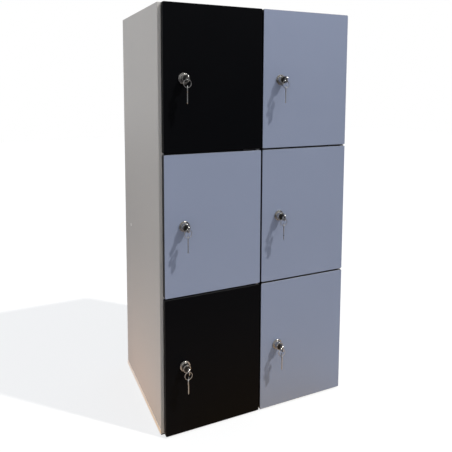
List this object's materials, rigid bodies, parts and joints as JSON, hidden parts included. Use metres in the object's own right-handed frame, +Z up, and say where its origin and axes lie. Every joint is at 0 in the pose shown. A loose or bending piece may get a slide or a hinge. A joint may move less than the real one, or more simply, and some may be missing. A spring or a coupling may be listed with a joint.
{
  "type": "phone locker box",
  "caption": "Free-standing locker box with small hinged doors in two columns, each with a cam lock, a key in it and a spare key on a ring, for storing phones and small personal things.",
  "frame": {"origin": "middle of the casing's footprint, on the floor", "axes": "+Z up, -Y towards the viewer of the doors, +X to the right seen from the front"},
  "size_m": [0.452, 0.3462, 0.9],
  "materials": {
    "casing_laminate": "satin light warm grey laminate",
    "door_blue_grey": "satin blue-grey laminate with a black core",
    "door_black": "satin black laminate",
    "skirting_aluminium": "satin aluminium strip",
    "rubber": "black rubber",
    "zinc_steel": "zinc plated steel",
    "white_cap": "white plastic cap",
    "dowel_wood": "plain beech",
    "bush_nylon": "black nylon",
    "lock_nickel": "nickel plated die casting",
    "lock_plug": "black plug face, zinc plated cam and nut behind",
    "key_nickel": "nickel plated brass, lightly brushed",
    "ring_steel": "nickel plated spring steel"
  },
  "bodies": {
    "casing": {"left_side": "casing_laminate", "right_side": "casing_laminate", "top_panel": "casing_laminate", "bottom_panel": "casing_laminate", "back_panel": "casing_laminate", "centre_divider": "casing_laminate", "shelf_1": "casing_laminate", "shelf_2": "casing_laminate", "shelf_3": "casing_laminate", "shelf_4": "casing_laminate", "skirting": "skirting_aluminium", "runners": "rubber", "hinge_brackets": "zinc_steel", "door_buffers": "rubber", "strike_plates": "zinc_steel", "hole_plugs": "white_cap", "screws": "zinc_steel", "dowels": "dowel_wood"},
    "door_1": {"door_1": "door_black", "hinge_bushes_1": "bush_nylon", "lock_body_1": "lock_nickel"},
    "door_2": {"door_2": "door_blue_grey", "hinge_bushes_2": "bush_nylon", "lock_body_2": "lock_nickel"},
    "door_3": {"door_3": "door_blue_grey", "hinge_bushes_3": "bush_nylon", "lock_body_3": "lock_nickel"},
    "door_4": {"door_4": "door_blue_grey", "hinge_bushes_4": "bush_nylon", "lock_body_4": "lock_nickel"},
    "door_5": {"door_5": "door_black", "hinge_bushes_5": "bush_nylon", "lock_body_5": "lock_nickel"},
    "door_6": {"door_6": "door_blue_grey", "hinge_bushes_6": "bush_nylon", "lock_body_6": "lock_nickel"},
    "lock_plug_1": {"lock_plug_1": "lock_plug"},
    "lock_plug_2": {"lock_plug_2": "lock_plug"},
    "lock_plug_3": {"lock_plug_3": "lock_plug"},
    "lock_plug_4": {"lock_plug_4": "lock_plug"},
    "lock_plug_5": {"lock_plug_5": "lock_plug"},
    "lock_plug_6": {"lock_plug_6": "lock_plug"},
    "key_1": {"key_1": "key_nickel"},
    "key_2": {"key_2": "key_nickel"},
    "key_3": {"key_3": "key_nickel"},
    "key_4": {"key_4": "key_nickel"},
    "key_5": {"key_5": "key_nickel"},
    "key_6": {"key_6": "key_nickel"},
    "key_ring_1": {"key_ring_1": "ring_steel"},
    "key_ring_2": {"key_ring_2": "ring_steel"},
    "key_ring_3": {"key_ring_3": "ring_steel"},
    "key_ring_4": {"key_ring_4": "ring_steel"},
    "key_ring_5": {"key_ring_5": "ring_steel"},
    "key_ring_6": {"key_ring_6": "ring_steel"},
    "spare_key_1": {"spare_key_1": "key_nickel"},
    "spare_key_2": {"spare_key_2": "key_nickel"},
    "spare_key_3": {"spare_key_3": "key_nickel"},
    "spare_key_4": {"spare_key_4": "key_nickel"},
    "spare_key_5": {"spare_key_5": "key_nickel"},
    "spare_key_6": {"spare_key_6": "key_nickel"}
  },
  "joints": [
    {"name": "door_1_swing", "type": "hinge", "parent": "casing", "child": "door_1", "pos_m": [-0.00525, -0.159, 0.7515], "axis": [0, 0, 1], "range_deg": [0, 100]},
    {"name": "door_2_swing", "type": "hinge", "parent": "casing", "child": "door_2", "pos_m": [0.217, -0.159, 0.7515], "axis": [0, 0, 1], "range_deg": [0, 100]},
    {"name": "door_3_swing", "type": "hinge", "parent": "casing", "child": "door_3", "pos_m": [-0.00525, -0.159, 0.4515], "axis": [0, 0, 1], "range_deg": [0, 100]},
    {"name": "door_4_swing", "type": "hinge", "parent": "casing", "child": "door_4", "pos_m": [0.217, -0.159, 0.4515], "axis": [0, 0, 1], "range_deg": [0, 100]},
    {"name": "door_5_swing", "type": "hinge", "parent": "casing", "child": "door_5", "pos_m": [-0.00525, -0.159, 0.1515], "axis": [0, 0, 1], "range_deg": [0, 100]},
    {"name": "door_6_swing", "type": "hinge", "parent": "casing", "child": "door_6", "pos_m": [0.217, -0.159, 0.1515], "axis": [0, 0, 1], "range_deg": [0, 100]},
    {"name": "lock_1_turn", "type": "hinge", "parent": "door_1", "child": "lock_plug_1", "pos_m": [-0.176, -0.165, 0.7515], "axis": [0, 1, 0], "range_deg": [0, 90]},
    {"name": "lock_2_turn", "type": "hinge", "parent": "door_2", "child": "lock_plug_2", "pos_m": [0.04625, -0.165, 0.7515], "axis": [0, 1, 0], "range_deg": [0, 90]},
    {"name": "lock_3_turn", "type": "hinge", "parent": "door_3", "child": "lock_plug_3", "pos_m": [-0.176, -0.165, 0.4515], "axis": [0, 1, 0], "range_deg": [0, 90]},
    {"name": "lock_4_turn", "type": "hinge", "parent": "door_4", "child": "lock_plug_4", "pos_m": [0.04625, -0.165, 0.4515], "axis": [0, 1, 0], "range_deg": [0, 90]},
    {"name": "lock_5_turn", "type": "hinge", "parent": "door_5", "child": "lock_plug_5", "pos_m": [-0.176, -0.165, 0.1515], "axis": [0, 1, 0], "range_deg": [0, 90]},
    {"name": "lock_6_turn", "type": "hinge", "parent": "door_6", "child": "lock_plug_6", "pos_m": [0.04625, -0.165, 0.1515], "axis": [0, 1, 0], "range_deg": [0, 90]},
    {"name": "key_1_pull", "type": "slide", "parent": "lock_plug_1", "child": "key_1", "axis": [0, -1, 0], "range_m": [0, 0.03]},
    {"name": "key_2_pull", "type": "slide", "parent": "lock_plug_2", "child": "key_2", "axis": [0, -1, 0], "range_m": [0, 0.03]},
    {"name": "key_3_pull", "type": "slide", "parent": "lock_plug_3", "child": "key_3", "axis": [0, -1, 0], "range_m": [0, 0.03]},
    {"name": "key_4_pull", "type": "slide", "parent": "lock_plug_4", "child": "key_4", "axis": [0, -1, 0], "range_m": [0, 0.03]},
    {"name": "key_5_pull", "type": "slide", "parent": "lock_plug_5", "child": "key_5", "axis": [0, -1, 0], "range_m": [0, 0.03]},
    {"name": "key_6_pull", "type": "slide", "parent": "lock_plug_6", "child": "key_6", "axis": [0, -1, 0], "range_m": [0, 0.03]},
    {"name": "ring_1_swing", "type": "hinge", "parent": "key_1", "child": "key_ring_1", "pos_m": [-0.17829, -0.188, 0.75055], "axis": [0, 1, 0], "range_deg": [-45, 0]},
    {"name": "ring_2_swing", "type": "hinge", "parent": "key_2", "child": "key_ring_2", "pos_m": [0.04396, -0.188, 0.75055], "axis": [0, 1, 0], "range_deg": [-45, 0]},
    {"name": "ring_3_swing", "type": "hinge", "parent": "key_3", "child": "key_ring_3", "pos_m": [-0.17829, -0.188, 0.45055], "axis": [0, 1, 0], "range_deg": [-45, 0]},
    {"name": "ring_4_swing", "type": "hinge", "parent": "key_4", "child": "key_ring_4", "pos_m": [0.04396, -0.188, 0.45055], "axis": [0, 1, 0], "range_deg": [-45, 0]},
    {"name": "ring_5_swing", "type": "hinge", "parent": "key_5", "child": "key_ring_5", "pos_m": [-0.17829, -0.188, 0.15055], "axis": [0, 1, 0], "range_deg": [-45, 0]},
    {"name": "ring_6_swing", "type": "hinge", "parent": "key_6", "child": "key_ring_6", "pos_m": [0.04396, -0.188, 0.15055], "axis": [0, 1, 0], "range_deg": [-45, 0]},
    {"name": "spare_1_swing", "type": "hinge", "parent": "key_ring_1", "child": "spare_key_1", "pos_m": [-0.176, -0.188, 0.7416], "axis": [0, 1, 0], "range_deg": [-45, 0]},
    {"name": "spare_2_swing", "type": "hinge", "parent": "key_ring_2", "child": "spare_key_2", "pos_m": [0.04625, -0.188, 0.7416], "axis": [0, 1, 0], "range_deg": [-45, 0]},
    {"name": "spare_3_swing", "type": "hinge", "parent": "key_ring_3", "child": "spare_key_3", "pos_m": [-0.176, -0.188, 0.4416], "axis": [0, 1, 0], "range_deg": [-45, 0]},
    {"name": "spare_4_swing", "type": "hinge", "parent": "key_ring_4", "child": "spare_key_4", "pos_m": [0.04625, -0.188, 0.4416], "axis": [0, 1, 0], "range_deg": [-45, 0]},
    {"name": "spare_5_swing", "type": "hinge", "parent": "key_ring_5", "child": "spare_key_5", "pos_m": [-0.176, -0.188, 0.1416], "axis": [0, 1, 0], "range_deg": [-45, 0]},
    {"name": "spare_6_swing", "type": "hinge", "parent": "key_ring_6", "child": "spare_key_6", "pos_m": [0.04625, -0.188, 0.1416], "axis": [0, 1, 0], "range_deg": [-45, 0]}
  ],
  "couplings": [
    {"joint": "ring_1_swing", "follows": "lock_1_turn", "ratio": -0.5},
    {"joint": "spare_1_swing", "follows": "lock_1_turn", "ratio": -0.5},
    {"joint": "ring_2_swing", "follows": "lock_2_turn", "ratio": -0.5},
    {"joint": "spare_2_swing", "follows": "lock_2_turn", "ratio": -0.5},
    {"joint": "ring_3_swing", "follows": "lock_3_turn", "ratio": -0.5},
    {"joint": "spare_3_swing", "follows": "lock_3_turn", "ratio": -0.5},
    {"joint": "ring_4_swing", "follows": "lock_4_turn", "ratio": -0.5},
    {"joint": "spare_4_swing", "follows": "lock_4_turn", "ratio": -0.5},
    {"joint": "ring_5_swing", "follows": "lock_5_turn", "ratio": -0.5},
    {"joint": "spare_5_swing", "follows": "lock_5_turn", "ratio": -0.5},
    {"joint": "ring_6_swing", "follows": "lock_6_turn", "ratio": -0.5},
    {"joint": "spare_6_swing", "follows": "lock_6_turn", "ratio": -0.5}
  ]
}
